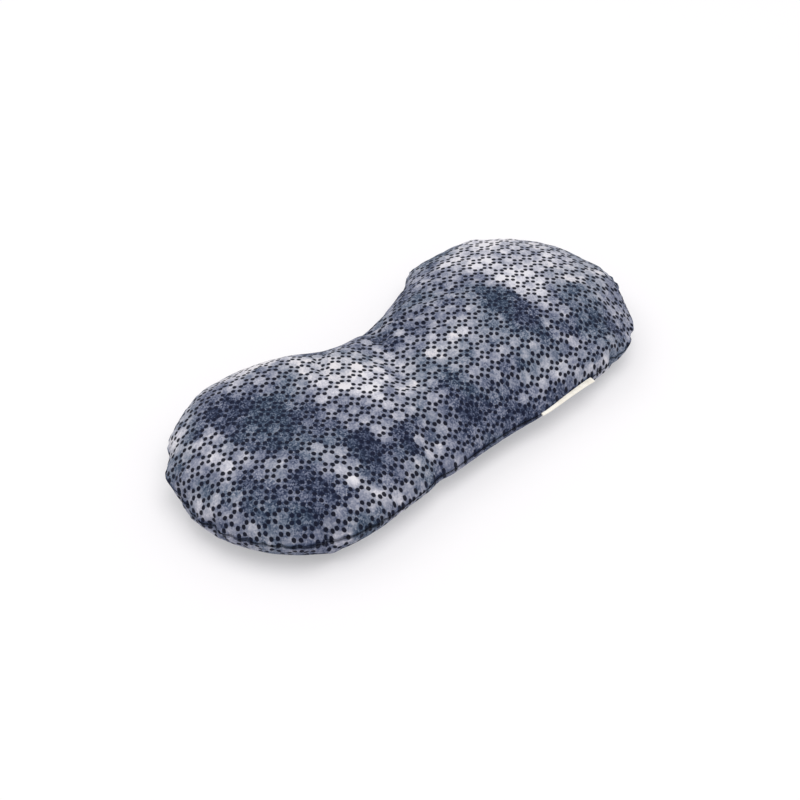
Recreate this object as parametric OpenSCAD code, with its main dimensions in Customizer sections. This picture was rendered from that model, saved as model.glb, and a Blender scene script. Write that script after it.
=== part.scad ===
// Seed-filled eye pillow: two round lobes joined by a bridge, with a notch for the nose.
// Two cloth panels are sewn together inside out, turned, filled with seeds and closed by hand.
// X runs along the pillow, Y points to the notch side, and the underside lies flat on z = 0.

/* [Body] */
// Length from the tip of one lobe to the tip of the other
body_length = 230; // [180:1:280]
// Radius of each lobe, seen from above
lobe_radius = 52; // [46:0.5:54]
// Height of the filled lobes
body_height = 32; // [24:0.5:40]
// Height of the bridge between the lobes
bridge_height = 29; // [22:0.5:32]
// Distance from the middle over which the top dips towards the bridge
bridge_span = 42; // [30:1:60]
// Height of the seam above the flat underside
seam_height = 12; // [9:0.5:14]
// Distance from the pillow's long axis to the bottom of the notch
notch_reach = 34.5; // [26:0.5:40]
// Distance from the long axis to the shallow waist on the other side
waist_reach = 50; // [42:0.5:50]

/* [Cloth and thread] */
// Thickness of a cloth panel
cloth = 0.6; // [0.4:0.1:0.8]
// Width of the seam allowance that is turned inside
allowance = 8; // [5:0.5:10]
// Width of the sewing thread
thread = 0.3; // [0.2:0.05:0.4]
// How far the machine stitches run inside the edge
stitch_inset = 1.4; // [1.2:0.1:2]
// Length of one hand stitch
hand_stitch = 2.5; // [2:0.25:4]
// Where the filling gap starts along X
gap_start = -56; // [-56:1:-50]
// Where the filling gap ends along X
gap_end = -16; // [-20:1:-10]

/* [Label] */
// Middle of the label along X
label_x = 44; // [36:1:46]
// Width of the label along the seam
label_width = 32; // [15:1:40]
// How far the folded label stands out of the seam
label_out = 2.4; // [2:0.1:12]
// Thickness of one layer of the label's tape
label_layer = 0.35; // [0.2:0.05:0.5]

/* [Filling] */
// Space between the cloth and the seeds
fill_gap = 0.4; // [0.3:0.1:1]
// Length over which the seeds thin out towards the bridge
fill_taper = 26; // [20:1:40]
// Half of the gap between the two seed masses
fill_split = 3; // [2:0.5:5]
// Height of the line that the bridge folds about
fold_height = 8; // [6:0.5:10]

/* [Hidden] */
lobe_x = body_length / 2 - lobe_radius;
// Steps along the pillow and across it
steps_long = 44;
steps_across = 14;
// How square the domes are: 2 is a round section, more is fuller towards the edge
fullness = 2.4;
// How much deeper than flat the underside would bulge if nothing pressed on it
base_press = 3;
// Clear space between the label and the edge of the pillow, and the label's fall from level
label_gap = 0.4;
label_droop = 12;
// The label lies along the edge, and the pillow is centred with the label on
label_edge = edge(label_x, waist_reach, 0);
label_turn = atan((edge(label_x - 5, waist_reach, 0) - edge(label_x + 5, waist_reach, 0)) / 10);
label_far = label_gap + label_out * cos(label_droop);
label_reach = label_edge + label_far * cos(label_turn)
            - label_width / 2 * sin(label_turn);
centre_y = (label_reach - lobe_radius) / 2;

// Radius of the hollow curve that joins the two lobe circles and comes within reach of the axis
function hollow_radius(reach) =
    (lobe_x * lobe_x + reach * reach - lobe_radius * lobe_radius) / (2 * (lobe_radius - reach));

// Distance from the long axis to the edge at x, moved in by inset
function edge(x, reach, inset) =
    let (hollow = hollow_radius(reach), tangent_x = lobe_x * hollow / (lobe_radius + hollow))
    abs(x) > tangent_x * (hollow + inset) / hollow
        ? sqrt(max(0, pow(lobe_radius - inset, 2) - pow(abs(x) - lobe_x, 2)))
        : reach + hollow - sqrt(pow(hollow + inset, 2) - x * x);

// Shares of the full height along the long axis: round at the tips, and low over the bridge
function tips(x, inset) =
    sqrt(max(0, 1 - pow(max(0, abs(x) - lobe_x) / (lobe_radius - inset), 2)));

function bridge(x) =
    1 - (body_height - bridge_height) / (body_height - seam_height)
        * (1 + cos(180 * min(1, abs(x) / bridge_span))) / 2;

// Height share across the pillow, for side from -1 to 1
function dome(side) = pow(max(0, 1 - pow(abs(side), fullness)), 1 / fullness);

// Upper and lower surfaces, moved in by inset along the edge and by layer in height
function top_z(x, side, inset, layer) =
    seam_height + layer
        + ((body_height - seam_height) * bridge(x) - 2 * layer) * tips(x, inset) * dome(side);

function bottom_z(x, side, inset, layer) =
    max(layer, seam_height - layer
        - (seam_height - 2 * layer) * (1 + base_press / seam_height)
            * tips(x, inset) * dome(side));

// Stations from one tip to the other, closer together near the tips
function station(i, inset) =
    (body_length / 2 - inset) * sin(90 * (2 * i / steps_long - 1));

// Places across the pillow from the waist side to the notch side, closer together near the edge
function across(j) = -cos(180 * j / steps_across);

function point_y(x, side, inset) =
    let (high = edge(x, notch_reach, inset), low = -edge(x, waist_reach, inset))
    (high + low) / 2 + side * (high - low) / 2;

// One curved sheet from tip to tip: all its rows, then its two tips
function sheet_points(upper, inset) = concat(
    [for (i = [1:steps_long - 1], j = [0:steps_across])
        let (x = station(i, inset), side = across(j))
        [x, point_y(x, side, inset),
         upper ? top_z(x, side, inset, inset) : bottom_z(x, side, inset, inset)]],
    [for (i = [0, steps_long])
        [station(i, inset), 0, upper ? seam_height + inset : seam_height - inset]]);

row = steps_across + 1;
sheet_count = (steps_long - 1) * row + 2;

function sheet_faces(first) = concat(
    [for (i = [0:steps_long - 3], j = [0:steps_across - 1])
        let (a = first + i * row + j) [a, a + 1, a + row + 1, a + row]],
    [for (j = [0:steps_across - 1]) [first + sheet_count - 2, first + j + 1, first + j]],
    [for (j = [0:steps_across - 1])
        let (a = first + (steps_long - 2) * row + j) [first + sheet_count - 1, a, a + 1]]);

// The sheet's edge as a loop: a tip, the notch side, the other tip, the waist side
function sheet_rim(first) = concat(
    [first + sheet_count - 2], [for (i = [0:steps_long - 2]) first + i * row + steps_across],
    [first + sheet_count - 1], [for (i = [steps_long - 2:-1:0]) first + i * row]);

// The same loop, moved in and at one height
function loop_points(inset, z) = concat(
    [[station(0, inset), 0, z]],
    [for (i = [1:steps_long - 1])
        let (x = station(i, inset)) [x, edge(x, notch_reach, inset), z]],
    [[station(steps_long, inset), 0, z]],
    [for (i = [steps_long - 1:-1:1])
        let (x = station(i, inset)) [x, -edge(x, waist_reach, inset), z]]);

// A strip of faces between two loops of point numbers
function strip(a, b) =
    [for (k = [0:len(a) - 1]) let (n = (k + 1) % len(a)) [a[k], b[k], b[n], a[n]]];

function turned(faces) = [for (f = faces) [for (k = [len(f) - 1:-1:0]) f[k]]];

function numbers(first, count) = [for (k = [0:count - 1]) first + k];

// A cloth panel: the outer sheet, the allowance turned in at the seam, and the inner sheet
module panel(upper) {
    rise = upper ? cloth : -cloth;
    count = 2 * steps_long;
    outer = sheet_points(upper, 0);
    fold_low = loop_points(allowance, seam_height);
    fold_high = loop_points(allowance, seam_height + rise);
    inner = sheet_points(upper, cloth);
    low = numbers(sheet_count, count);
    high = numbers(sheet_count + count, count);
    inner_first = sheet_count + 2 * count;
    faces = concat(
        sheet_faces(0),
        strip(sheet_rim(0), low),
        strip(low, high),
        strip(high, sheet_rim(inner_first)),
        turned(sheet_faces(inner_first)));
    polyhedron(concat(outer, fold_low, fold_high, inner), upper ? faces : turned(faces));
}

// Flat shape of the pillow, moved in by inset
module outline(inset) {
    polygon([for (p = loop_points(inset, 0)) [p[0], p[1]]]);
}

// A machine thread along the seam, open where the pillow is filled
module machine_thread(bottom) {
    translate([0, centre_y, bottom]) difference() {
        linear_extrude(thread) difference() {
            outline(stitch_inset);
            outline(stitch_inset + thread);
        }
        translate([gap_start, -lobe_radius - 1, -1])
            cube([gap_end - gap_start, lobe_radius / 2, thread + 2]);
    }
}

// A seed mass: a closed lens that fills one lobe inside the allowance and thins out at the bridge
module seed_mass() {
    steps = 22;
    half_rim = 0.5;
    inset = allowance + fill_gap;
    layer = cloth + fill_gap;
    span = body_length / 2 - inset - fill_split;
    tip = steps * row;
    function seed_x(i) = fill_split + span * pow(sin(90 * i / steps), 2);
    function share(x) = sqrt(min(1, (x - fill_split) / fill_taper));
    function seed_z(x, side, upper) = upper
        ? let (thin = fold_height + half_rim)
            thin + (top_z(x, side, inset, layer) - thin) * share(x)
        : let (thin = fold_height - half_rim)
            thin + (bottom_z(x, side, inset, layer) - thin) * share(x);
    function half_points(upper) = concat(
        [for (i = [0:steps - 1], j = [0:steps_across])
            let (x = seed_x(i), side = across(j))
            [x, point_y(x, side, inset), seed_z(x, side, upper)]],
        [[seed_x(steps), 0, seed_z(seed_x(steps), 1, upper)]]);
    function half_faces(first) = concat(
        [for (i = [0:steps - 2], j = [0:steps_across - 1])
            let (a = first + i * row + j) [a, a + row, a + row + 1, a + 1]],
        [for (j = [0:steps_across - 1])
            let (a = first + (steps - 1) * row + j) [a, first + tip, a + 1]]);
    function half_rim_loop(first) = concat(
        [for (i = [0:steps - 1]) first + i * row],
        [first + tip],
        [for (i = [steps - 1:-1:0]) first + i * row + steps_across],
        [for (j = [steps_across - 1:-1:1]) first + j]);
    polyhedron(concat(half_points(true), half_points(false)), concat(
        turned(half_faces(0)),
        half_faces(tip + 1),
        turned(strip(half_rim_loop(0), half_rim_loop(tip + 1)))));
}

module cover_top() {
    color("slategray") translate([0, centre_y, 0]) panel(true);
}

module cover_bottom() {
    color("darkslateblue") translate([0, centre_y, 0]) panel(false);
}

module seam_needle_thread() {
    color("midnightblue") machine_thread(seam_height + cloth);
}

module seam_bobbin_thread() {
    color("navy") machine_thread(seam_height - cloth - thread);
}

// A ladder stitch: runs inside each panel's fold in turn, and crosses the seam between runs
module closing_thread() {
    runs = floor((gap_end - gap_start) / hand_stitch);
    rung = 2 * cloth + 2 * thread;
    inset = stitch_inset - 2 * thread;
    color("midnightblue") translate([0, centre_y, seam_height]) for (k = [0:runs]) {
        x = gap_start + k * hand_stitch;
        y = -edge(x, waist_reach, inset);
        next_y = -edge(x + hand_stitch, waist_reach, inset);
        translate([x, y, -rung / 2]) cube([thread, thread, rung]);
        if (k < runs)
            translate([x, min(y, next_y), k % 2 == 0 ? rung / 2 - thread : -rung / 2])
                cube([hand_stitch, thread + abs(next_y - y), thread]);
    }
}

// Tape folded in two along its outer edge, with both ends caught in the seam
module label() {
    fold_radius = label_layer * 1.1;
    color("ivory")
    translate([label_x, centre_y - label_edge, seam_height]) rotate([0, 0, label_turn])
    translate([0, -label_gap, 0]) rotate([label_droop, 0, 0]) rotate([90, 0, 90])
    translate([0, 0, -label_width / 2]) linear_extrude(label_width) mirror([1, 0]) {
        for (side = [-1, 1])
            translate([0, side > 0 ? fold_radius - label_layer : -fold_radius])
                square([label_out - fold_radius, label_layer]);
        translate([label_out - fold_radius, 0]) intersection() {
            difference() {
                circle(fold_radius, $fn = 48);
                circle(fold_radius - label_layer, $fn = 48);
            }
            translate([0, -fold_radius]) square([fold_radius, 2 * fold_radius]);
        }
    }
}

module fill_left() {
    color("saddlebrown") translate([0, centre_y, 0]) mirror([1, 0, 0]) seed_mass();
}

module fill_right() {
    color("sienna") translate([0, centre_y, 0]) seed_mass();
}

cover_top();
cover_bottom();
seam_needle_thread();
seam_bobbin_thread();
closing_thread();
label();
fill_left();
fill_right();
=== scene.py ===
"""Looks of a seed-filled eye pillow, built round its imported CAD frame."""

import math

import bpy
import numpy as np
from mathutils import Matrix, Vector, noise
from mathutils.bvhtree import BVHTree
from mathutils.geometry import delaunay_2d_cdt


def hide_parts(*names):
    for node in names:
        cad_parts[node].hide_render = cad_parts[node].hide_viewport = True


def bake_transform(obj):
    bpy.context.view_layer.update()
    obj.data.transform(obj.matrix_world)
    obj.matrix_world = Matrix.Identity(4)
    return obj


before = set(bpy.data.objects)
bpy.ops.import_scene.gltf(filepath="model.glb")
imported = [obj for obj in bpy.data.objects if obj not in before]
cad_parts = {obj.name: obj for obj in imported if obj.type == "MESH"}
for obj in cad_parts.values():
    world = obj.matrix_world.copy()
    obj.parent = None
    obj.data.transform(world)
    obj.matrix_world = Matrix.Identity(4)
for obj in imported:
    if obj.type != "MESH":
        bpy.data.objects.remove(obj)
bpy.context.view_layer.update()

MM = 0.001
# Sizes of the pillow in millimetres, as in the CAD
LOBE_RADIUS = 52.0
LOBE_X = 63.0
BODY_LENGTH = 230.0
BODY_HEIGHT = 32.0
BRIDGE_HEIGHT = 29.0
BRIDGE_SPAN = 42.0
SEAM_HEIGHT = 12.0
NOTCH_REACH = 34.5
WAIST_REACH = 50.0
BASE_PRESS = 3.0
FULLNESS = 2.4
ALLOWANCE = 8.0
FILL_INSET = 8.4
FILL_LAYER = 1.0
FILL_SPLIT = 3.0
FILL_TAPER = 26.0
FOLD_HEIGHT = 8.0
STITCH = 2.5
GAP_START = -56.0
GAP_END = -16.0
LABEL_START = 28.0
LABEL_END = 60.0
LABEL_OUT = 2.4
# How much deeper the label is caught at its left end
LABEL_SKEW = 1.4
# Thickness of one layer of the cover's cloth, and of the label's tape
CLOTH = 0.5
TAPE = 0.28
# The machine's threads: half thickness, how far in from the edge and how far off the seam's middle
# they lie, how deep they dip at each hole, and steps to a stitch
THREAD = 0.15
THREAD_IN = 2.3
THREAD_OFF = 0.68
THREAD_DIP = 0.12
STITCH_STEPS = 6
# The hand stitch: half thickness, and one run in steps: how far off the seam's middle and how deep
HAND_THREAD = 0.14
HAND_RUN = [(0, 0.35), (0.25, 0.35)] + 5 * [(0.55, 0.8)] + [(0.25, 0.35)]
# Steps along the label, rows of points over one lobe's seeds, and steps across each row
LABEL_STEPS = 28
SEED_ROWS = 70
SEED_COLUMNS = 44
# The pillow is centred with its label on, so its long axis is a little off the row's
CENTRE_Y = 1.26074
# The cloth is cut larger than the filled pillow, because filling draws it in
CUT = 1.05
CLOTH_STEP = 2.4
# The sewn bag before it is filled: its seam's height, and how far each panel bows out from it
LAID_HEIGHT = 14
LAID_LIFT = 3
# How the sewn bag is filled: its volume in millilitres, the pressure, the seeds' weight and the frames
BAG_VOLUME = 470.0
BAG_PRESSURE = 50.0
SEED_WEIGHT = 2.6
FRAMES = 40
# Rounds of averaging over which the slow form is told from the folds
EVEN_ROUNDS = 60
# Corners and dents in the edge: place, how far out and width
KINKS = [
    # The left tip and the notch side of the left lobe
    (-109, 25, 1.4, 5), (-98, 40, 1.2, 4), (-104, 33, -0.8, 4), (-114, 10, -0.8, 7), (-88, 48, -1.8, 9),
    # The notch, the notch side of the right lobe and the right tip
    (5, 35, 2.2, 9), (26, 41, 2.0, 9), (38, 47, -1.6, 7), (53, 53, 3.4, 8), (109, 18, 1.4, 9),
    (112, -10, 3.8, 12), (102, -42, 3.2, 15),
    # The waist side, from right to left
    (66, -52, -2.2, 18), (30, -51, 1.2, 9), (0, -50, -1.2, 26), (-30, -50, -0.6, 6), (-70, -52, -0.6, 6),
    (-96, -42, 0.8, 5), (-110, -24, -0.6, 6),
]
# Where the edge keeps no small waves of its own: place and width
SMOOTH_EDGE = (107, -33, 16)
# Swells of the upper cloth: place, half widths and height
SWELLS = [(-60, 33, 28, 12, 2.8), (-33, 34, 15, 11, 3.6)]
# Where the upper cloth lies without small folds: place and half widths
CALM = [(-24, 36, 33, 18), (92, -42, 14, 12)]
# The fold line that runs slantwise over the bridge, from the notch to the waist
FOLD_FROM = (7.0, 36.0)
FOLD_TO = (-29.0, -50.0)
# Where that fold is pinched at the waist and at the notch: place and width
WAIST_PINCH = (-29, -44, 12)
NOTCH_PINCH = (5, 26, 16)
# Where the seam stands open most: place and width
OPEN_SEAM = (-90, -42, 30)
# The cloth turned in at the seam: how far in and how far from the seam's middle
TURNED_IN = [(1.2, 0.14), (2.2, 0.06), (ALLOWANCE, 0.06)]
# How much lower the seam hangs along the waist side
WAIST_SAG = 3.0
# How much gentler the top slopes to the seam along the waist side, where across and how wide
SLOPE = 2.5
SLOPE_SIDE = -0.78
SLOPE_WIDE = 0.14
# How far in from the seam the underside meets the table along the waist side
UNDERCUT = 16.0
# How far the cloth is pressed together beside the seam
LIP = 0.4
# Cloth is simulated at ten times its size, which keeps the solver's limits away
SIM = 0.01
SIM_GAP = 0.004
# The camera's turn about the pillow, its angle above the table, its distance, aim and lens
CAMERA_TURN = -43.2
CAMERA_RISE = 42.4
CAMERA_AWAY = 0.7236
CAMERA_TARGET = (-0.0002, 0.0065, -0.0008)
CAMERA_LENS = 75.1


# ---------------------------------------------------------------- outline

def hollow_radius(reach):
    """Radius of the hollow arc between the lobes that comes within reach of the long axis."""
    across = LOBE_X * LOBE_X + reach * reach - LOBE_RADIUS * LOBE_RADIUS
    return across / (2 * (LOBE_RADIUS - reach))


def edge(x, reach, inset=0.0):
    """Distance from the long axis to the edge at x, moved in by inset."""
    x = np.abs(np.asarray(x, float))
    hollow = hollow_radius(reach)
    tangent = LOBE_X * hollow / (LOBE_RADIUS + hollow) * (hollow + inset) / hollow
    lobe = np.sqrt(np.maximum(0, (LOBE_RADIUS - inset) ** 2 - (x - LOBE_X) ** 2))
    dip = reach + hollow - np.sqrt(np.maximum(0, (hollow + inset) ** 2 - x * x))
    return np.where(x > tangent, lobe, dip)


def bell(points, x, y, wide, long=None):
    """A smooth hill of height 1 over x and y."""
    long = long or wide
    return np.exp(-(((points[:, 0] - x) / wide) ** 2) - ((points[:, 1] - y) / long) ** 2)


def tips(x, inset=0.0):
    """How high the body stands towards its tips, as a share: 1 between the lobes' middles."""
    past = np.maximum(0, np.abs(x) - LOBE_X) / (LOBE_RADIUS - inset)
    return np.sqrt(np.maximum(0, 1 - past**2))


def bridge(x):
    """How high the top stands at the bridge, as a share of its height at the lobes."""
    drop = (BODY_HEIGHT - BRIDGE_HEIGHT) / (BODY_HEIGHT - SEAM_HEIGHT)
    share = (1 + np.cos(np.pi * np.minimum(1, np.abs(x) / BRIDGE_SPAN))) / 2
    return 1 - drop * share


def dome(side):
    """The rounded course across the body, from 0 at the seam to 1 in the middle."""
    return np.maximum(0, 1 - np.abs(side) ** FULLNESS) ** (1 / FULLNESS)


def top_z(x, side, inset=0.0, layer=0.0):
    rise = (BODY_HEIGHT - SEAM_HEIGHT) * bridge(x) - 2 * layer
    return SEAM_HEIGHT + layer + rise * tips(x, inset) * dome(side)


def bottom_z(x, side, inset=0.0, layer=0.0):
    deep = (SEAM_HEIGHT - 2 * layer) * (1 + BASE_PRESS / SEAM_HEIGHT)
    return np.maximum(layer, SEAM_HEIGHT - layer - deep * tips(x, inset) * dome(side))


def closed(loop):
    return np.vstack([loop, loop[:1]])


def lengths(path):
    """How far along the path each of its points lies."""
    return np.concatenate([[0], np.cumsum(np.linalg.norm(np.diff(path, axis=0), axis=1))])


def outline(inset, count, shift=0.0):
    """Points evenly spaced along the edge, from the left tip by the notch to the right tip and back."""
    reach = BODY_LENGTH / 2 - inset
    xs = -reach * np.cos(np.linspace(0, np.pi, 1500))
    notch = np.stack([xs, edge(xs, NOTCH_REACH, inset)], 1)
    waist = np.stack([xs[::-1], -edge(xs[::-1], WAIST_REACH, inset)], 1)
    loop = np.vstack([notch, waist[1:]])
    along = lengths(loop)
    at = (np.arange(count) + shift) / count * along[-1]
    return np.stack([np.interp(at, along, loop[:, 0]), np.interp(at, along, loop[:, 1])], 1)


def outline_length():
    return lengths(closed(outline(0, 2000)))[-1]


# ---------------------------------------------------------------- cloth

def cut_panel():
    """The flat panel as points, triangles and its edge in order, in the filled pillow's millimetres."""
    step = CLOTH_STEP / CUT
    row = step * 0.866
    count = int(round(outline_length() / step))
    rings = [outline(0, count), outline(row, count, 0.5), outline(2 * row, count)]
    inner = []
    rows = np.arange(-LOBE_RADIUS, LOBE_RADIUS, row)
    for j, y in enumerate(rows):
        xs = np.arange(-BODY_LENGTH / 2, BODY_LENGTH / 2, step) + (j % 2) * step / 2
        xs = xs[np.abs(xs) < BODY_LENGTH / 2 - 3 * row]
        inside = (y < edge(xs, NOTCH_REACH, 2.75 * row)) & (y > -edge(xs, WAIST_REACH, 2.75 * row))
        inner += [(x, y) for x in xs[inside]]
    points = np.vstack(rings + [np.array(inner)])
    rim_edges = [(i, (i + 1) % count) for i in range(count)]
    made = delaunay_2d_cdt([Vector(p) for p in points], rim_edges, [], 1, 1e-6)
    flat = np.array([tuple(v) for v in made[0]])
    faces = [tuple(f) for f in made[2]]
    place = {}
    for new, olds in enumerate(made[3]):
        for old in olds:
            place[old] = new
    return flat, faces, [place[i] for i in range(count)]


def crease_distance(points):
    """How far each point lies from the fold line over the bridge."""
    start = np.array(FOLD_FROM)
    way = np.array(FOLD_TO) - start
    way /= np.linalg.norm(way)
    return (points[:, :2] - start) @ np.array([-way[1], way[0]])


def new_object(name, points, faces):
    mesh = bpy.data.meshes.new(name)
    mesh.from_pydata(np.asarray(points, float).tolist(), [], faces)
    mesh.update()
    made = bpy.data.objects.new(name, mesh)
    bpy.context.scene.collection.objects.link(made)
    return made


def drop(obj):
    mesh = obj.data
    bpy.data.objects.remove(obj)
    bpy.data.meshes.remove(mesh)


def simulated_bag(flat, faces, rim):
    """Fills the two sewn panels on a table and returns the upper and the lower panel's points."""
    count = len(flat)
    on_rim = np.zeros(count, bool)
    on_rim[rim] = True
    free = np.where(~on_rim)[0]
    lower = np.arange(count)
    lower[free] = count + np.arange(len(free))
    loop = flat[rim][::3]
    from_edge = np.min(np.linalg.norm(flat[:, None] - loop[None], axis=2), axis=1)
    lift = LAID_LIFT * np.sqrt(np.clip(1 - (1 - np.clip(from_edge / 40, 0, 1)) ** 2, 0, 1))
    lift[on_rim] = 0
    upper_points = np.column_stack([flat * CUT, LAID_HEIGHT + lift])
    lower_points = np.column_stack([flat * CUT, LAID_HEIGHT - lift])[free]
    start = np.vstack([upper_points, lower_points]) * SIM
    both = [tuple(f) for f in faces] + [tuple(int(lower[i]) for i in reversed(f)) for f in faces]
    bag = new_object("bag", start, both)
    table = new_object("table", [(-3, -3, 0), (3, -3, 0), (3, 3, 0), (-3, 3, 0)], [(0, 1, 2, 3)])
    table.modifiers.new("Collision", "COLLISION")
    table.collision.thickness_outer = SIM_GAP
    table.collision.cloth_friction = 5
    fill_cloth(bag, np.vstack([flat, flat[free]]), rim)
    scene = bpy.context.scene
    for step in range(1, FRAMES + 1):
        scene.frame_set(step)
    shown = bag.evaluated_get(bpy.context.evaluated_depsgraph_get()).data
    points = np.zeros(len(shown.vertices) * 3, np.float32)
    shown.vertices.foreach_get("co", points)
    points = points.reshape(-1, 3).astype(float) / SIM
    scene.frame_set(1)
    drop(bag)
    drop(table)
    return points[:count], points[lower]


def fill_cloth(bag, flat, rim):
    """Cotton filled with a set volume of seeds, which press less along the fold over the bridge."""
    press = bag.vertex_groups.new(name="press")
    lines = 1 - 0.5 * np.exp(-((crease_distance(flat) / 10) ** 2))
    waist = 1 - 0.25 * np.exp(-((flat[:, 0] / 22) ** 2))
    for i, weight in enumerate(lines * waist):
        press.add([i], float(weight), "REPLACE")
    drawn = bag.vertex_groups.new(name="drawn")
    drawn.add([int(i) for i in rim], 1.0, "REPLACE")
    cloth = bag.modifiers.new("Cloth", "CLOTH")
    kit = cloth.settings
    kit.quality = 8
    kit.mass = 0.15
    kit.air_damping = 3
    kit.tension_stiffness = 60
    kit.compression_stiffness = 20
    kit.shear_stiffness = 20
    kit.bending_stiffness = 0.3
    kit.tension_damping = 10
    kit.compression_damping = 10
    kit.shear_damping = 10
    kit.bending_damping = 0.5
    kit.use_pressure = True
    kit.uniform_pressure_force = 0
    kit.use_pressure_volume = True
    kit.target_volume = BAG_VOLUME * 1000 * SIM**3
    kit.pressure_factor = BAG_PRESSURE
    kit.vertex_group_pressure = "press"
    kit.fluid_density = SEED_WEIGHT
    kit.shrink_min = 0
    kit.shrink_max = 0.01
    kit.vertex_group_shrink = "drawn"
    kit.effector_weights.gravity = 1
    cloth.collision_settings.distance_min = SIM_GAP
    cloth.collision_settings.collision_quality = 3
    cloth.point_cache.frame_end = FRAMES + 5


def blur(width):
    """Offsets and weights of a smooth average."""
    offsets = np.arange(-3 * width, 3 * width + 1)
    kernel = np.exp(-(offsets**2) / (2 * width**2))
    return offsets, kernel / kernel.sum()


def smoothed(values, width):
    padded = np.pad(values, 3 * width, mode="edge")
    return np.convolve(padded, blur(width)[1], mode="valid")


def smoothed_loop(values, width):
    return sum(share * np.roll(values, -offset) for offset, share in zip(*blur(width)))


def settled(upper, lower):
    """Centres the simulated bag along its length, at the CAD's length, and stands it on the table."""
    low = min(upper[:, 2].min(), lower[:, 2].min())
    left = upper[:, 0].min()
    right = upper[:, 0].max()
    made = []
    for points in (upper, lower):
        out = points.copy()
        out[:, 0] = (out[:, 0] - (left + right) / 2) * BODY_LENGTH / (right - left)
        out[:, 2] -= low
        made.append(out)
    return made


def neighbour_pairs(faces):
    pairs = np.array([(f[i], f[(i + 1) % 3]) for f in faces for i in range(3)])
    return np.vstack([pairs, pairs[:, ::-1]])


def evened(values, pairs, rounds, held=None):
    """Averages a value over the mesh's neighbours again and again; held points keep theirs."""
    shared = np.bincount(pairs[:, 0], minlength=len(values))
    out = values.copy()
    for _ in range(rounds):
        total = np.bincount(pairs[:, 0], weights=out[pairs[:, 1]], minlength=len(values))
        out = (out + total / shared) / 2
        if held is not None:
            out[held] = values[held]
    return out


def drawn_to_outline(upper, lower, pairs, rim):
    """Moves the edge's slow course onto the outline and its corners, and the cloth inside along with it."""
    goal = outline(0, len(rim))
    corners = np.zeros(goal.shape)
    for x, y, out, wide in KINKS:
        middle = np.array([LOBE_X if x > 0 else -LOBE_X, 0])
        corners += (out * bell(goal, x, y, wide))[:, None] * (goal - middle) / LOBE_RADIUS
    quiet = bell(goal, *SMOOTH_EDGE)
    for k in range(3):
        shift = np.zeros(len(upper))
        shift[rim] = quiet * (smoothed_loop(upper[rim, k], 4) - upper[rim, k])
        if k < 2:
            shift[rim] += smoothed_loop(goal[:, k] - upper[rim, k], 3) + corners[:, k]
        shift = evened(shift, pairs, 300, rim)
        upper[:, k] += shift
        lower[:, k] += shift
    return upper, lower


def side_of(points):
    """Where each point lies across the pillow, from -1 at the waist to 1 at the notch."""
    high = edge(points[:, 0], NOTCH_REACH)
    low = -edge(points[:, 0], WAIST_REACH)
    return np.clip((2 * points[:, 1] - high - low) / np.maximum(high - low, 1e-6), -1, 1)


def between(x, start, full, fades, end):
    """0 outside start and end, 1 from full to fades, and a straight slope between."""
    return np.clip((x - start) / (full - start), 0, 1) * np.clip((end - x) / (end - fades), 0, 1)


def brought_to_form(points, pairs, rim, upper):
    """Takes the slow difference from the filled form away, leaves the folds and lowers the waist side."""
    side = side_of(points)
    shape = top_z if upper else bottom_z
    gap = points[:, 2] - shape(points[:, 0], side)
    out = points.copy()
    out[:, 2] -= evened(gap, pairs, EVEN_ROUNDS)
    along = between(points[:, 0], -90, -40, 92, 114)
    inner = 0.3 if upper else 0.85
    near_edge = np.clip((-side - inner) / (1 - inner), 0, 1) ** 1.5
    out[:, 2] -= WAIST_SAG * near_edge * along
    if upper:
        return softened_top(out, points, side, pairs, rim)
    inwards = (1 + side) * (edge(points[:, 0], NOTCH_REACH) + edge(points[:, 0], WAIST_REACH)) / 2
    line = (SEAM_HEIGHT - WAIST_SAG) * (1 - inwards / np.maximum(UNDERCUT * along, 0.1))
    out[:, 2] = np.maximum(out[:, 2], line)
    return out


def softened_top(out, points, side, pairs, rim):
    """Gives the upper cloth its gentler slope to the waist, its swells and its calm places."""
    flatter = between(points[:, 0], -40, 0, 98, 112)
    out[:, 2] -= SLOPE * flatter * np.exp(-(((side - SLOPE_SIDE) / SLOPE_WIDE) ** 2))
    for x, y, wide, long, height in SWELLS:
        out[:, 2] += height * bell(points, x, y, wide, long)
    calm = sum(bell(points, *place) for place in CALM)
    for k in range(3):
        out[:, k] += calm * (evened(out[:, k], pairs, 40, rim) - out[:, k])
    return out


def lumps(points, size, layer):
    """Smooth noise of about -1 to 1 over x and y; each layer is a pattern of its own."""
    return np.array([noise.noise(Vector((p[0] / size, p[1] / size, layer))) for p in points])


def pressed_at_seam(points, flat, rim):
    """Brings the cloth close to the seam's height beside the seam, which gives it its sharp edge."""
    apart = np.linalg.norm(flat[:, None] - flat[rim][None], axis=2)
    nearest = np.argmin(apart, axis=1)
    height = points[rim, 2][nearest]
    pucker = lumps(flat[rim], 3.5, 9.0)
    lip = np.clip(LIP * (1 + 0.9 * pucker[nearest]), 0, 0.8)
    share = 1 - lip * np.exp(-((apart.min(axis=1) / 3.2) ** 2))
    points[:, 2] = height + (points[:, 2] - height) * share


def pinched(points, upper):
    """Deepens the fold line over the bridge and its pinch at the waist, and adds the seeds' slow lumps."""
    out = points.copy()
    away = crease_distance(points)
    near_pinch = bell(points, *WAIST_PINCH)
    if upper:
        lift = np.clip((points[:, 2] - SEAM_HEIGHT) / 6, 0, 1)
        deep = 0.5 + 1.8 * near_pinch + 2.0 * bell(points, *NOTCH_PINCH)
        out[:, 2] -= deep * np.exp(-((away / 4.5) ** 2)) * lift
        out[:, 2] += 0.5 * lift * lumps(points, 13, 4.0)
    out[:, 1] += 1.2 * near_pinch * np.exp(-((away / 4) ** 2))
    return out


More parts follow.
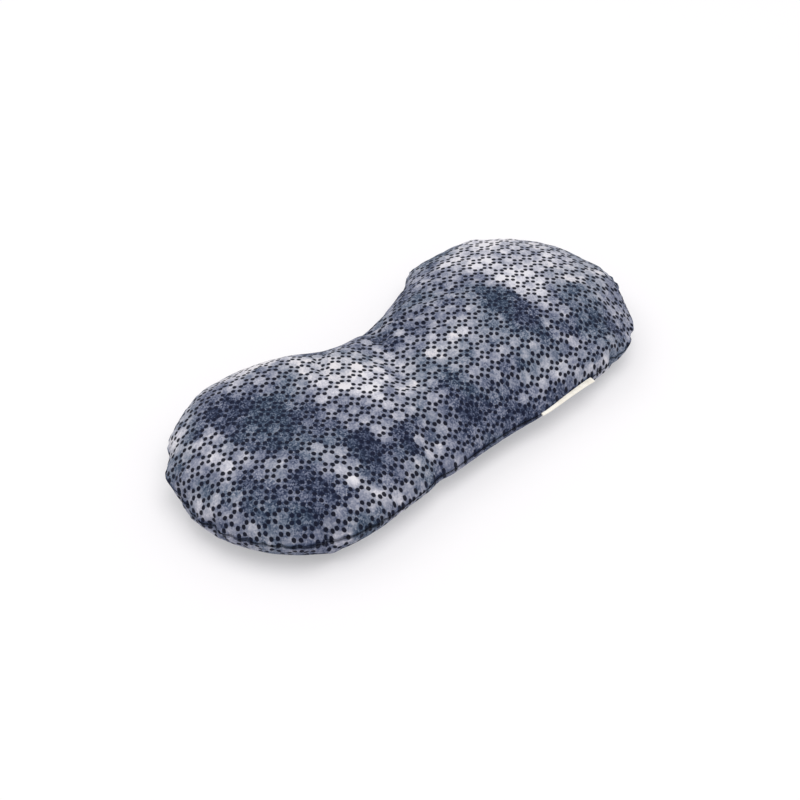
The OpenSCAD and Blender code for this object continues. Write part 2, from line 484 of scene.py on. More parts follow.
def bag_points(flat, faces, rim):
    pairs = neighbour_pairs(faces)
    upper, lower = settled(*simulated_bag(flat, faces, rim))
    upper, lower = drawn_to_outline(upper, lower, pairs, rim)
    upper = brought_to_form(upper, pairs, rim, True)
    lower = brought_to_form(lower, pairs, rim, False)
    upper = pinched(upper, True)
    lower = pinched(lower, False)
    pressed_at_seam(upper, flat, rim)
    pressed_at_seam(lower, flat, rim)
    seam = (upper[rim] + lower[rim]) / 2
    upper[rim] = seam
    lower[rim] = seam
    lower[:, 2] = np.maximum(lower[:, 2], 0)
    return upper, lower, seam


# ---------------------------------------------------------------- pieces

def outwards(loop):
    """Level unit vectors that point out of a loop which runs clockwise from above."""
    along = np.roll(loop, -1, 0)[:, :2] - np.roll(loop, 1, 0)[:, :2]
    along = (along + np.roll(along, 1, 0) + np.roll(along, -1, 0)) / 3
    out = np.column_stack([-along[:, 1], along[:, 0], np.zeros(len(loop))])
    return out / np.linalg.norm(out, axis=1)[:, None]


def placed(points):
    """Natural millimetres to the row's frame in metres."""
    out = np.array(points, float)
    out[:, 1] += CENTRE_Y
    return out * MM


def shaded(obj, material):
    obj.data.materials.append(material)
    for face in obj.data.polygons:
        face.use_smooth = True


def applied(obj):
    """Replaces a piece's mesh by what its modifiers make of it."""
    bpy.context.view_layer.update()
    graph = bpy.context.evaluated_depsgraph_get()
    mesh = bpy.data.meshes.new_from_object(obj.evaluated_get(graph))
    old = obj.data
    obj.modifiers.clear()
    obj.data = mesh
    mesh.name = obj.name
    bpy.data.meshes.remove(old)


def mapped(obj, cut):
    """Writes each point's place on the flat cut, in units of 100 mm, as the piece's map."""
    layer = obj.data.uv_layers.new(name="cut")
    for loop in obj.data.loops:
        layer.data[loop.index].uv = cut[loop.vertex_index]


def seam_opening(seam):
    """How far each panel's edge stands off the seam, unevenly along it."""
    gap = 0.42 + 0.35 * lumps(seam, 9, 2.0) + 0.45 * bell(seam, *OPEN_SEAM)
    return np.clip(gap, 0.25, 1.0)


def ring_faces(a, b):
    """Four-sided faces between two loops of as many points."""
    count = len(a)
    return [(a[i], b[i], b[(i + 1) % count], a[(i + 1) % count]) for i in range(count)]


def strip_faces(a, b):
    """Four-sided faces between two open rows of as many points."""
    return [(a[i], a[i + 1], b[i + 1], b[i]) for i in range(len(a) - 1)]


def panel(name, points, flat, faces, rim, seam, upper, material):
    """A cover panel with its edge turned in at the seam, its cloth's thickness and its flat cut as a map."""
    sign = 1 if upper else -1
    up = np.array([0, 0, 1.0])
    out = outwards(seam)
    flat_out = outwards(np.column_stack([flat[rim], np.zeros(len(rim))]))[:, :2]
    folded = points.copy()
    folded[rim] = seam + sign * seam_opening(seam)[:, None] * up
    all_points = [folded]
    all_flat = [flat]
    loops = [list(rim)]
    first = len(points)
    for inset, height in TURNED_IN:
        all_points.append(seam - inset * out + sign * height * up)
        all_flat.append(flat[rim] + inset * flat_out)
        loops.append(list(range(first, first + len(rim))))
        first += len(rim)
    made = [tuple(f) for f in faces]
    for a, b in zip(loops, loops[1:]):
        made += ring_faces(a, b)
    if not upper:
        made = [tuple(reversed(f)) for f in made]
    obj = new_object(name, placed(np.vstack(all_points)), made)
    shade = obj.data.attributes.new("seam_shade", "FLOAT", "POINT")
    for loop in loops:
        for i in loop:
            shade.data[int(i)].value = 1.0
    mapped(obj, np.vstack(all_flat) / 100)
    shaded(obj, material)
    round_off = obj.modifiers.new("Round", "SUBSURF")
    round_off.levels = 1
    thick = obj.modifiers.new("Cloth", "SOLIDIFY")
    thick.thickness = CLOTH * MM
    thick.offset = -1
    applied(obj)
    return obj


def tube(name, path, radius, material, sides=6):
    """A thread along a path of points."""
    path = np.asarray(path, float)
    count = len(path)
    along = np.gradient(path, axis=0)
    along /= np.maximum(np.linalg.norm(along, axis=1), 1e-9)[:, None]
    level = np.cross(along, [0.13, 0.21, 0.97])
    level /= np.linalg.norm(level, axis=1)[:, None]
    other = np.cross(level, along)
    points = []
    for k in range(count):
        for s in range(sides):
            turn = 2 * math.pi * s / sides
            points.append(path[k] + radius * (math.cos(turn) * level[k] + math.sin(turn) * other[k]))
    rings = [list(range(k * sides, (k + 1) * sides)) for k in range(count)]
    faces = []
    for a, b in zip(rings, rings[1:]):
        faces += ring_faces(a, b)
    faces.append(tuple(reversed(rings[0])))
    faces.append(tuple(rings[-1]))
    obj = new_object(name, placed(points), faces)
    shaded(obj, material)
    return obj


def along_seam(seam, shares):
    """Places and outward directions on the seam's loop, each at a share of its length."""
    loop = closed(seam)
    out = closed(outwards(seam))
    length = lengths(loop)
    at = np.asarray(shares) * length[-1]
    place = np.stack([np.interp(at, length, loop[:, k]) for k in range(3)], 1)
    way = np.stack([np.interp(at, length, out[:, k]) for k in range(3)], 1)
    return place, way


def seam_share(seam, x):
    """Where the waist side of the seam passes x, as a share of the loop."""
    loop = closed(seam)
    length = lengths(loop)
    half = len(loop) // 2
    return float(np.interp(-x, -loop[half:, 0], length[half:])) / length[-1]


def machine_thread(name, seam, side, material):
    """Lockstitches just inside the edge, dipping into the cloth at each hole, open at the filling gap."""
    leaves = seam_share(seam, GAP_START)
    joins = seam_share(seam, GAP_END)
    length = lengths(closed(seam))[-1]
    stitches = int((1 - leaves + joins) * length / STITCH)
    count = stitches * STITCH_STEPS + 1
    share = np.linspace(leaves, 1 + joins, count) % 1.0
    place, way = along_seam(seam, share)
    dip = THREAD_DIP * np.cos(2 * np.pi * np.arange(count) / STITCH_STEPS)
    path = place - THREAD_IN * way
    path[:, 2] += side * (THREAD_OFF - dip)
    return tube(name, path, THREAD, material)


def closing_thread(name, seam, material):
    """A ladder stitch: runs in each fold in turn, with a rung across the seam between runs."""
    start = seam_share(seam, GAP_START)
    end = seam_share(seam, GAP_END)
    low, high = min(start, end), max(start, end)
    count = int((GAP_END - GAP_START) / STITCH) * len(HAND_RUN) + 1
    place, way = along_seam(seam, np.linspace(low, high, count))
    path = []
    for k in range(count):
        run, step = divmod(k, len(HAND_RUN))
        side = 1 if run % 2 else -1
        off, deep = HAND_RUN[step]
        path.append(place[k] - deep * way[k] + np.array([0, 0, side * off]))
    return tube(name, path, HAND_THREAD, material)


def label_profile():
    """The folded tape's course from one end round its fold to the other: how far out and how high."""
    reach = LABEL_OUT
    half = [(-3, 0.2), (-1, 0.2), (0.4, 0.24), (1.3, 0.3), (reach - 0.7, 0.33), (reach - 0.3, 0.32),
            (reach - 0.08, 0.22), (reach, 0.08)]
    return half + [(r, -h) for r, h in reversed(half)]


def label_points(seam):
    """The tape's points, row by row along its course, and each one's place on the flat tape."""
    low = seam_share(seam, LABEL_END)
    high = seam_share(seam, LABEL_START)
    place, way = along_seam(seam, np.linspace(low, high, LABEL_STEPS + 1))
    place[:, 2] = smoothed(place[:, 2], 4)
    profile = label_profile()
    points = []
    cut = []
    for run, (reach, height) in zip(lengths(np.array(profile)), profile):
        for k in range(LABEL_STEPS + 1):
            t = k / LABEL_STEPS
            r = reach - LABEL_SKEW * t
            free = max(0, r)
            sag = 0.20 * free + 0.012 * free**2
            wave = 0.22 * math.sin(5.1 * t + 0.6) * free / LABEL_OUT
            points.append(place[k] + r * way[k] + np.array([0, 0, height - sag + wave]))
            cut.append((t * (LABEL_END - LABEL_START) / 100, run / 100))
    return points, cut


def label_tape(seam, material):
    """Tape folded in two along its outer edge, its two ends caught between the panels' folds."""
    points, cut = label_points(seam)
    row = LABEL_STEPS + 1
    rows = [list(range(first, first + row)) for first in range(0, len(points), row)]
    faces = []
    for a, b in zip(rows, rows[1:]):
        faces += strip_faces(a, b)
    obj = new_object("label_tape", placed(points), faces)
    mapped(obj, cut)
    shaded(obj, material)
    thick = obj.modifiers.new("Tape", "SOLIDIFY")
    thick.thickness = TAPE * MM
    thick.offset = 0
    round_off = obj.modifiers.new("Round", "SUBSURF")
    round_off.levels = 1
    applied(obj)
    return obj


def height_over(tree, x, y, upper):
    """Height of a panel at a place, met from above or from below."""
    start = Vector((x, y, 60.0 if upper else -20.0))
    hit = tree.ray_cast(start, Vector((0, 0, -1.0 if upper else 1.0)))[0]
    return hit.z if hit else SEAM_HEIGHT


def seed_surface(sign, top, tree):
    """One side of a lobe's seeds: rows of points from the bridge to the tip, just inside the cover."""
    span = BODY_LENGTH / 2 - FILL_INSET - FILL_SPLIT
    shape = top_z if top else bottom_z
    half = 0.5 if top else -0.5
    thin = FOLD_HEIGHT + half
    points = []
    for i in range(SEED_ROWS):
        x = FILL_SPLIT + span * math.sin(math.pi / 2 * i / SEED_ROWS) ** 1.4
        share = math.sqrt(min(1, (x - FILL_SPLIT) / FILL_TAPER))
        high = float(edge(x, NOTCH_REACH, FILL_INSET))
        low = -float(edge(x, WAIST_REACH, FILL_INSET))
        for j in range(SEED_COLUMNS + 1):
            side = -math.cos(math.pi * j / SEED_COLUMNS)
            y = (high + low) / 2 + side * (high - low) / 2
            z = float(shape(x, side, FILL_INSET, FILL_LAYER))
            cover = height_over(tree, sign * x, y, top)
            lump = 0.45 * abs(noise.noise(Vector((x / 1.7, y / 1.7, 3.0 + sign))))
            z = min(z, cover - 1.3) - lump if top else max(z, cover + 1.0) + lump
            points.append((sign * x, y, thin + (z - thin) * share))
    points.append((sign * (FILL_SPLIT + span), 0.0, SEAM_HEIGHT + half))
    return points


def seed_faces(sign):
    """Faces over the two sides' points and round the strip between them."""
    row = SEED_COLUMNS + 1
    other = SEED_ROWS * row + 1
    faces = []
    for first in (0, other):
        rows = [list(range(first + i * row, first + (i + 1) * row)) for i in range(SEED_ROWS)]
        tip = first + SEED_ROWS * row
        part = []
        for a, b in zip(rows, rows[1:]):
            part += strip_faces(a, b)
        part += [(rows[-1][j], rows[-1][j + 1], tip) for j in range(SEED_COLUMNS)]
        faces += part if (first == 0) == (sign < 0) else [tuple(reversed(f)) for f in part]
    loop = [i * row for i in range(SEED_ROWS + 1)]
    loop += [i * row + SEED_COLUMNS for i in reversed(range(SEED_ROWS))]
    loop += list(range(SEED_COLUMNS - 1, 0, -1))
    for a, b in zip(loop, loop[1:] + loop[:1]):
        strip = (a, b, b + other, a + other)
        faces.append(tuple(reversed(strip)) if sign < 0 else strip)
    return faces


def seed_mass(name, sign, upper, lower, faces, material):
    """The seeds in one lobe: a lumpy lens inside the cover that thins out at the bridge."""
    points = []
    for top, cover in ((True, upper), (False, lower)):
        points += seed_surface(sign, top, BVHTree.FromPolygons(cover.tolist(), faces))
    obj = new_object(name, placed(points), seed_faces(sign))
    shaded(obj, material)
    return obj


# ---------------------------------------------------------------- materials

class Graph:
    """A material's nodes, with one short call for each kind."""

    def __init__(self, name):
        self.material = bpy.data.materials.new(name)
        self.material.use_nodes = True
        self.tree = self.material.node_tree
        self.nodes = self.tree.nodes
        self.shader = self.nodes["Principled BSDF"]

    def put(self, socket, value):
        if isinstance(value, bpy.types.NodeSocket):
            self.tree.links.new(value, socket)
        elif value is not None:
            socket.default_value = value

    def math(self, kind, a, b=None, c=None, clamp=False):
        node = self.nodes.new("ShaderNodeMath")
        node.operation = kind
        node.use_clamp = clamp
        for socket, value in zip(node.inputs, (a, b, c)):
            self.put(socket, value)
        return node.outputs[0]

    def vector(self, kind, a, b=None, scale=None):
        node = self.nodes.new("ShaderNodeVectorMath")
        node.operation = kind
        self.put(node.inputs[0], a)
        self.put(node.inputs[1], b)
        if scale is not None:
            self.put(node.inputs["Scale"], scale)
        return node.outputs["Value" if kind in ("LENGTH", "DISTANCE") else "Vector"]

    def ramp(self, value, low, high, to_low=0.0, to_high=1.0):
        node = self.nodes.new("ShaderNodeMapRange")
        node.interpolation_type = "SMOOTHSTEP"
        for socket, v in zip(node.inputs, (value, low, high, to_low, to_high)):
            self.put(socket, v)
        return node.outputs["Result"]

    def noise(self, place, scale, detail=2.0, rough=0.5, output="Fac"):
        node = self.nodes.new("ShaderNodeTexNoise")
        self.put(node.inputs["Vector"], place)
        node.inputs["Scale"].default_value = scale
        node.inputs["Detail"].default_value = detail
        node.inputs["Roughness"].default_value = rough
        return node.outputs[output]

    def centred(self, value, size):
        """A value of 0 to 1 moved to lie about 0, size from end to end."""
        return self.math("MULTIPLY", self.math("SUBTRACT", value, 0.5), size)

    def drift(self, place, scale, detail, size):
        """A slow random shift, up to about half of size each way."""
        slow = self.noise(place, scale, detail, output="Color")
        return self.vector("SCALE", self.vector("SUBTRACT", slow, (0.5, 0.5, 0.5)), scale=size)

    def random(self, place):
        node = self.nodes.new("ShaderNodeTexWhiteNoise")
        self.put(node.inputs["Vector"], place)
        return node.outputs["Value"]

    def split(self, place):
        node = self.nodes.new("ShaderNodeSeparateXYZ")
        self.put(node.inputs[0], place)
        return node.outputs[0], node.outputs[1], node.outputs[2]

    def join(self, x, y, z=0.0):
        node = self.nodes.new("ShaderNodeCombineXYZ")
        for socket, value in zip(node.inputs, (x, y, z)):
            self.put(socket, value)
        return node.outputs[0]

    def mix(self, share, a, b, kind="RGBA"):
        node = self.nodes.new("ShaderNodeMix")
        node.data_type = kind
        names = {"RGBA": (6, 7, 2), "VECTOR": (4, 5, 1), "FLOAT": (2, 3, 0)}[kind]
        self.put(node.inputs[0], share)
        self.put(node.inputs[names[0]], a)
        self.put(node.inputs[names[1]], b)
        return node.outputs[names[2]]

    def colours(self, value, stops):
        node = self.nodes.new("ShaderNodeValToRGB")
        ramp = node.color_ramp
        while len(ramp.elements) < len(stops):
            ramp.elements.new(0.5)
        for element, (at, colour) in zip(ramp.elements, stops):
            element.position = at
            element.color = srgb(*colour)
        self.put(node.inputs[0], value)
        return node.outputs["Color"]

    def bump(self, height, distance, strength=1.0, normal=None):
        node = self.nodes.new("ShaderNodeBump")
        node.inputs["Strength"].default_value = strength
        node.inputs["Distance"].default_value = distance
        self.put(node.inputs["Height"], height)
        self.put(node.inputs["Normal"], normal)
        return node.outputs["Normal"]

    def cut_map(self):
        """The cloth's own flat coordinates in millimetres."""
        node = self.nodes.new("ShaderNodeUVMap")
        node.uv_map = "cut"
        return self.vector("SCALE", node.outputs["UV"], scale=100.0)


def srgb(red, green, blue):
    values = [v / 255 for v in (red, green, blue)]
    return tuple(v / 12.92 if v <= 0.04045 else ((v + 0.055) / 1.055) ** 2.4 for v in values) + (1.0,)


# Patches of the dye on the flat cut, and one of painted shade in the fold at the notch: middle along and
# across, half sizes and how much lighter
DYE_AND_PAINTED_SHADE = [
    # The left lobe, where the dye lies thick
    (-94, -18, 9, 9, -0.18), (-88, 26, 8, 7, -0.14), (-81, -31, 14, 11, -0.21), (-78, 26, 8, 6, -0.10),
    (-74, 8, 15, 18, -0.27), (-73, -20, 8, 7, -0.08), (-68, -44, 9, 8, -0.08), (-66, -50, 10, 4, -0.07),
    (-58, -2, 9, 14, -0.20), (-58, 16, 8, 8, -0.08), (-50, -27, 9, 8, -0.26), (-50, -16, 6, 6, -0.10),
    (-42, -38, 16, 7, -0.18),
    # The left lobe, where the dye lies thin
    (-98, 29, 7, 7, 0.20), (-90, 2, 9, 8, 0.13), (-90, 13, 6, 6, 0.08), (-80, 0, 7, 7, 0.09),
    (-78, -51, 6, 3, 0.20), (-78, 41, 11, 5, 0.10), (-70, 49, 10, 5, 0.14), (-66, -32, 6, 6, 0.08),
    (-62, -41, 7, 6, 0.19), (-62, -33, 6, 5, 0.06), (-56, 40, 12, 7, 0.24), (-42, -42, 6, 5, 0.08),
    (-42, 38, 15, 7, 0.19), (-40, -40, 6, 5, 0.13), (-40, 40, 14, 8, 0.12),
    # The bridge, where the dye lies thick, and at (1, 32) painted shade in the fold at the notch
    (-30, -50, 8, 5, -0.18), (-30, -35, 8, 8, -0.16), (-28, -29, 6, 6, -0.06), (-25, 31, 11, 8, -0.18),
    (0, -28, 8, 14, -0.20), (0, 14, 7, 9, -0.13), (1, 32, 9, 7, -0.28), (6, -42, 20, 13, -0.13),
    (12, 8, 6, 5, -0.08), (28, -49, 16, 6, -0.17), (28, 27, 8, 7, -0.11), (30, -31, 6, 6, -0.12),
    (30, 41, 8, 5, -0.14),
    # The bridge, where the dye lies thin
    (-32, 16, 15, 22, 0.17), (-26, -40, 4, 6, 0.14), (-25, 0, 14, 9, 0.14), (-22, -12, 12, 9, 0.14),
    (-10, 33, 6, 6, 0.05), (-4, 0, 7, 12, 0.10), (12, -8, 8, 6, 0.10), (25, -3, 10, 8, 0.06),
    # The right lobe, where the dye lies thick
    (48, -12, 9, 18, -0.28), (50, -30, 7, 6, -0.12), (58, 40, 8, 6, -0.08), (68, 50, 12, 6, -0.34),
    (70, -19, 6, 6, -0.07), (72, -32, 14, 8, -0.16), (76, -20, 8, 5, -0.08), (80, -41, 14, 7, -0.08),
    (105, 20, 8, 10, -0.06), (106, -10, 8, 14, -0.06),
    # The right lobe, where the dye lies thin
    (48, -36, 6, 5, 0.10), (60, -20, 6, 6, 0.07), (60, 26, 12, 11, 0.18), (63, -6, 8, 14, 0.18),
    (64, -50, 8, 4, 0.12), (70, 4, 8, 8, 0.14), (82, 14, 24, 18, 0.15), (84, 36, 16, 12, 0.27),
    (90, -8, 20, 9, 0.14),
]
# The print's repeat on the flat cut, and where one corner between four cells lies
PERIOD_X = 5.87
PERIOD_Y = 6.06
LATTICE_X = -14.0
LATTICE_Y = -3.0
# Colours of the ground from dark to light, of its greener places, and of the dots
INDIGO = [
    (0.10, (29, 37, 58)), (0.24, (52, 60, 84)), (0.38, (77, 85, 107)), (0.52, (107, 112, 133)),
    (0.66, (142, 145, 161)), (0.80, (178, 178, 190)), (0.92, (204, 203, 212)), (1.0, (217, 215, 221)),
]
GREENER = [
    (0.10, (34, 46, 65)), (0.24, (56, 69, 90)), (0.38, (80, 92, 111)), (0.52, (109, 118, 135)),
    (0.66, (143, 147, 161)), (0.80, (178, 179, 189)), (0.92, (206, 203, 209)), (1.0, (219, 215, 219)),
]
INK = [(0.2, (12, 17, 40)), (0.6, (4, 7, 24))]


def cell_places(g, place):
    """The nearest cell's middle, and the place within the cell from -0.5 to 0.5."""
    period = (PERIOD_X, PERIOD_Y, 1)
    moved = g.vector("SUBTRACT", place, (LATTICE_X, LATTICE_Y, 0))
    share = g.vector("DIVIDE", moved, period)
    cell = g.vector("ADD", g.vector("FLOOR", share), (0.5, 0.5, 0))
    middle = g.vector("ADD", g.vector("MULTIPLY", cell, period), (LATTICE_X, LATTICE_Y, 0))
    local = g.vector("ABSOLUTE", g.vector("SUBTRACT", share, cell))
    return middle, local


def dots(g, place, local):
    """Pairs of round dots on every side of a cell."""
    x, y, _ = g.split(local)
    from_side = g.math("SUBTRACT", 0.5, x)
    from_end = g.math("SUBTRACT", 0.5, y)
    pair = g.join(g.math("MULTIPLY", from_side, PERIOD_X),
                  g.math("MULTIPLY", g.math("SUBTRACT", from_end, 0.275), PERIOD_Y))
    other = g.join(g.math("MULTIPLY", g.math("SUBTRACT", from_side, 0.3275), PERIOD_X),
                   g.math("MULTIPLY", from_end, PERIOD_Y))
    near = g.math("MINIMUM", g.vector("LENGTH", pair), g.vector("LENGTH", other))
    ragged = g.centred(g.noise(place, 0.9, 2), 0.45)
    return g.ramp(g.math("ADD", near, ragged), 1.03, 0.75)


def dye_and_painted_shade(g, place):
    """How light the ground is, from 0 to 1: mottled, with thick and thin patches of dye and one patch of
    painted shade.
    """
    slow = g.noise(place, 0.055, 3, 0.55)
    quick = g.noise(g.vector("ADD", place, (31, 17, 5)), 0.16, 3, 0.6)
    value = g.math("ADD", g.math("MULTIPLY", slow, 0.15), g.math("MULTIPLY", quick, 0.85))
    value = g.math("ADD", value, 0.055)
    moved = g.vector("ADD", place, g.drift(place, 0.09, 2, 14.0))
    # One of these patches paints the shade in the fold at the notch
    for x, y, wide, long, strength in DYE_AND_PAINTED_SHADE:
        apart = g.vector("MULTIPLY", g.vector("SUBTRACT", moved, (x, y, 0)), (1 / wide, 1 / long, 0))
        share = g.ramp(g.vector("LENGTH", apart), 1.2, 0.62)
        value = g.math("ADD", value, g.math("MULTIPLY", share, strength))
    return g.math("MAXIMUM", g.math("MULTIPLY_ADD", value, 1.2, -0.10), 0.2)


def in_cell(g, place, local):
    """1 inside a cell's light octagon and 0 outside it, with a ragged edge."""
    x, y, _ = g.split(local)
    corner = g.math("MULTIPLY", g.math("ADD", x, y), 0.72)
    reach = g.math("MAXIMUM", g.math("MAXIMUM", x, y), corner)
    ragged = g.centred(g.noise(place, 1.1, 3, 0.6), 0.22)
    return g.ramp(g.math("ADD", reach, ragged), 0.50, 0.38)


def crossings(g, local):
    """Fine light lines that cross where four cells meet."""
    x, y, _ = g.split(local)
    line = g.ramp(g.math("ABSOLUTE", g.math("SUBTRACT", x, y)), 0.045, 0.015)
    corner_only = g.ramp(g.math("MINIMUM", x, y), 0.30, 0.36)
    return g.math("MULTIPLY", g.math("MULTIPLY", line, corner_only), 0.06)


def specks(g, place, ground):
    """Lighter and darker yarns, stronger where the ground is dark."""
    yarn = g.vector("FLOOR", g.vector("SCALE", place, scale=1.8))
    speck = g.math("SUBTRACT", g.random(yarn), 0.5)
    speck = g.math("ADD", speck, g.math("SUBTRACT", g.noise(place, 1.3, 3, 0.8), 0.5))
    dark = g.ramp(ground, 0.62, 0.3)
    return g.math("MULTIPLY", speck, g.math("MULTIPLY_ADD", dark, 0.34, 0.13))


def seam_shadow(g, place):
    """How much darker the cloth is in the seam, unevenly along it."""
    crease = g.nodes.new("ShaderNodeAttribute")
    crease.attribute_name = "seam_shade"
    uneven = g.ramp(g.noise(place, 0.11, 3), 0.42, 0.62, 0.07, 0.34)
    return g.math("MULTIPLY", g.ramp(crease.outputs["Fac"], 0.5, 1.0), uneven)


def printed_cotton():
    """Fine cotton with a dyed ground, light cells and pairs of dark dots, all fixed to the flat cut, with
    painted shade in the seam and in the fold at the notch.
    """
    g = Graph("printed_cotton")
    place = g.cut_map()
    wander = g.vector("MULTIPLY", g.drift(place, 0.05, 1, 1.2), (1, 1, 0))
    place = g.vector("ADD", place, wander)
    middle, local = cell_places(g, place)
    cell = in_cell(g, place, local)
    ground = dye_and_painted_shade(g, g.mix(g.math("MULTIPLY", cell, 0.3), place, middle, "VECTOR"))
    own = g.centred(g.random(middle), 0.10)
    strong = g.math("MULTIPLY_ADD", g.ramp(ground, 0.3, 0.8), 0.06, 0.03)
    cell_lift = g.math("MULTIPLY", g.math("ADD", own, strong), cell)
    light = g.math("ADD", g.math("MULTIPLY_ADD", strong, -0.35, ground), cell_lift)
    light = g.math("ADD", light, specks(g, place, ground))
    light = g.math("ADD", light, crossings(g, local))
    light = g.math("SUBTRACT", light, seam_shadow(g, place))
    greener = g.ramp(g.noise(place, 0.035, 2), 0.46, 0.6)
    colour = g.mix(greener, g.colours(light, INDIGO), g.colours(light, GREENER))
    dotted = g.math("MULTIPLY", dots(g, place, local), g.ramp(light, 0.1, 0.5, 0.75, 0.97))
    colour = g.mix(dotted, colour, g.colours(light, INK))
    g.put(g.shader.inputs["Base Color"], colour)
    weave(g, g.cut_map(), 0.45, 0.00004)
    g.shader.inputs["Roughness"].default_value = 0.82
    g.shader.inputs["Specular IOR Level"].default_value = 0.08
    g.shader.inputs["Sheen Weight"].default_value = 0.04
    g.shader.inputs["Sheen Roughness"].default_value = 0.5
    return g.material


def weave(g, place, period, distance):
    """Bump of a plain weave with threads of uneven thickness, over the seeds' soft grain."""
    x, y, _ = g.split(g.vector("SCALE", place, scale=2 * math.pi / period))
    over = g.math("MULTIPLY", g.math("SINE", x), g.math("SINE", y))
    uneven = g.noise(place, 3.0, 2)
    height = g.math("ADD", over, uneven)
    fine = g.bump(height, distance, 0.6)
    grain = g.noise(place, 0.45, 2, 0.5)
    g.put(g.shader.inputs["Normal"], g.bump(grain, 0.00035, 0.7, fine))


def tape_cloth():
    """Cream woven tape with fine ribs across it."""
    g = Graph("label_tape")
    place = g.cut_map()
    x, y, _ = g.split(g.vector("SCALE", place, scale=2 * math.pi / 0.5))
    ribs = g.math("ADD", g.math("MULTIPLY", g.math("SINE", x), 0.5), g.math("SINE", y))
    tint = g.noise(place, 0.35, 3)
    colour = g.colours(tint, [(0.3, (238, 231, 217)), (0.7, (252, 248, 239))])
    g.put(g.shader.inputs["Base Color"], colour)
    g.put(g.shader.inputs["Normal"], g.bump(ribs, 0.00004, 0.7))
    g.shader.inputs["Roughness"].default_value = 0.7
    g.shader.inputs["Sheen Weight"].default_value = 0.1
    return g.material


def thread_material():
    """Dark twisted sewing thread."""
    g = Graph("sewing_thread")
    node = g.nodes.new("ShaderNodeNewGeometry")
    place = g.vector("SCALE", node.outputs["Position"], scale=1000.0)
    strands = g.noise(g.vector("MULTIPLY", place, (3, 3, 9)), 1.0, 2)
    g.put(g.shader.inputs["Base Color"], g.colours(strands, [(0.3, (24, 28, 44)), (0.7, (48, 54, 76))]))
    g.put(g.shader.inputs["Normal"], g.bump(strands, 0.00005, 0.8))
    g.shader.inputs["Roughness"].default_value = 0.6
    return g.material


def seed_material():
    """Small glossy brown seeds lying at all angles, with painted shade in the gaps between them."""
    g = Graph("flax_seeds")
    node = g.nodes.new("ShaderNodeTexCoord")
    place = g.vector("SCALE", node.outputs["Object"], scale=1000.0)
    cells = g.nodes.new("ShaderNodeTexVoronoi")
    g.put(cells.inputs["Vector"], g.vector("MULTIPLY", place, (1, 0.6, 1)))
    cells.inputs["Scale"].default_value = 0.55
    height = g.ramp(cells.outputs["Distance"], 0.75, 0.1)
    own = g.random(cells.outputs["Color"])
    seeds = g.colours(own, [(0.0, (84, 48, 24)), (0.5, (122, 74, 38)), (1.0, (158, 104, 58))])
    # Painted shade: the seeds' colour turns dark brown towards the gaps between them
    shade = g.mix(height, srgb(30, 18, 10), seeds)
    g.put(g.shader.inputs["Base Color"], shade)
    g.put(g.shader.inputs["Normal"], g.bump(height, 0.0006, 0.9))
    g.shader.inputs["Roughness"].default_value = 0.4
    return g.material


# ---------------------------------------------------------------- stage

def look_at(obj, target):
    obj.rotation_euler = (Vector(target) - obj.location).to_track_quat("-Z", "Y").to_euler()


def add_camera():
    data = bpy.data.cameras.new("camera")
    data.lens = CAMERA_LENS
    data.sensor_width = 36
    obj = bpy.data.objects.new("camera", data)
    turn = math.radians(CAMERA_TURN)
    rise = math.radians(CAMERA_RISE)
    forward = Vector((-math.sin(turn) * math.cos(rise), math.cos(turn) * math.cos(rise), -math.sin(rise)))
    obj.location = Vector(CAMERA_TARGET) - forward * CAMERA_AWAY
    bpy.context.scene.collection.objects.link(obj)
    look_at(obj, CAMERA_TARGET)
    bpy.context.scene.camera = obj


def add_light(name, place, size, power, target=(0, 0, 0.01)):
    data = bpy.data.lights.new(name, "AREA")
    data.shape = "DISK"
    data.size = size
    data.energy = power
    obj = bpy.data.objects.new(name, data)
    obj.location = place
    bpy.context.scene.collection.objects.link(obj)
    look_at(obj, target)


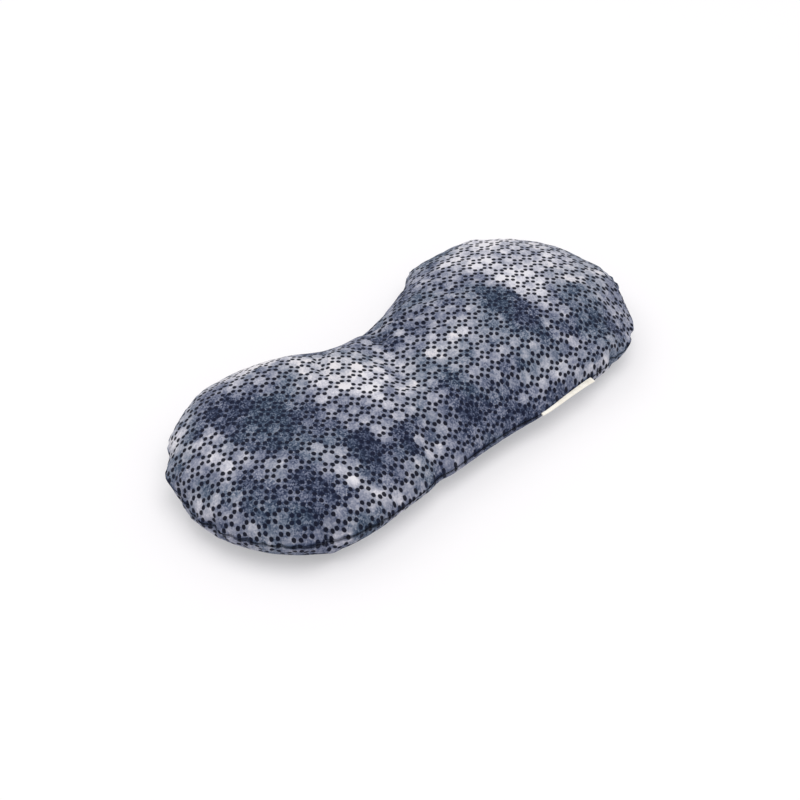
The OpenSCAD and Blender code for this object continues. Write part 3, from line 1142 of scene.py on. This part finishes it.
def add_stage():
    """A pale floor, one soft key from behind, a soft fill and even light all round."""
    floor = new_object("floor", [(-4, -4, 0), (4, -4, 0), (4, 4, 0), (-4, 4, 0)], [(0, 1, 2, 3)])
    floor.location.z = -0.0002
    g = Graph("floor_paper")
    g.shader.inputs["Base Color"].default_value = srgb(206, 204, 206)
    g.shader.inputs["Emission Color"].default_value = (1, 1, 1, 1)
    g.shader.inputs["Emission Strength"].default_value = 0.32
    g.shader.inputs["Roughness"].default_value = 0.9
    g.shader.inputs["Specular IOR Level"].default_value = 0.1
    floor.data.materials.append(g.material)
    add_light("key", (0.1, -0.2, 1.35), 1.3, 8.0)
    add_light("back", (-0.3, 0.9, 1.0), 0.8, 2.0)
    world = bpy.data.worlds.new("world")
    world.use_nodes = True
    world.node_tree.nodes["Background"].inputs["Color"].default_value = (1, 1, 1, 1)
    world.node_tree.nodes["Background"].inputs["Strength"].default_value = 0.74
    bpy.context.scene.world = world
    bpy.context.scene.view_settings.view_transform = "Standard"


# ---------------------------------------------------------------- making

def add_seeds(upper, lower, faces):
    seeds = seed_material()
    for name, sign, node in (("left_seeds", -1, "fill_left"), ("right_seeds", 1, "fill_right")):
        mass = seed_mass(name, sign, upper, lower, faces, seeds)
        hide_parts(node)
        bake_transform(mass)


def add_label(seam):
    label = label_tape(seam, tape_cloth())
    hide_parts("label")
    waist = seam[seam[:, 1] < 0]
    middle = waist[np.argmin(np.abs(waist[:, 0] - (LABEL_START + LABEL_END) / 2))]
    x, y, z = placed([middle])[0]
    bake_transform(label)


def make_pillow():
    cotton = printed_cotton()
    thread = thread_material()
    flat, faces, rim = cut_panel()
    upper, lower, seam = bag_points(flat, faces, rim)
    pieces = {}
    pieces["cover_top"] = panel("top_panel", upper, flat, faces, rim, seam, True, cotton)
    pieces["cover_bottom"] = panel("bottom_panel", lower, flat, faces, rim, seam, False, cotton)
    pieces["seam_needle_thread"] = machine_thread("needle_stitches", seam, 1, thread)
    pieces["seam_bobbin_thread"] = machine_thread("bobbin_stitches", seam, -1, thread)
    pieces["closing_thread"] = closing_thread("closing_stitches", seam, thread)
    for node, piece in pieces.items():
        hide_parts(node)
        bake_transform(piece)
    add_seeds(upper, lower, faces)
    add_label(seam)


add_camera()
add_stage()
make_pillow()
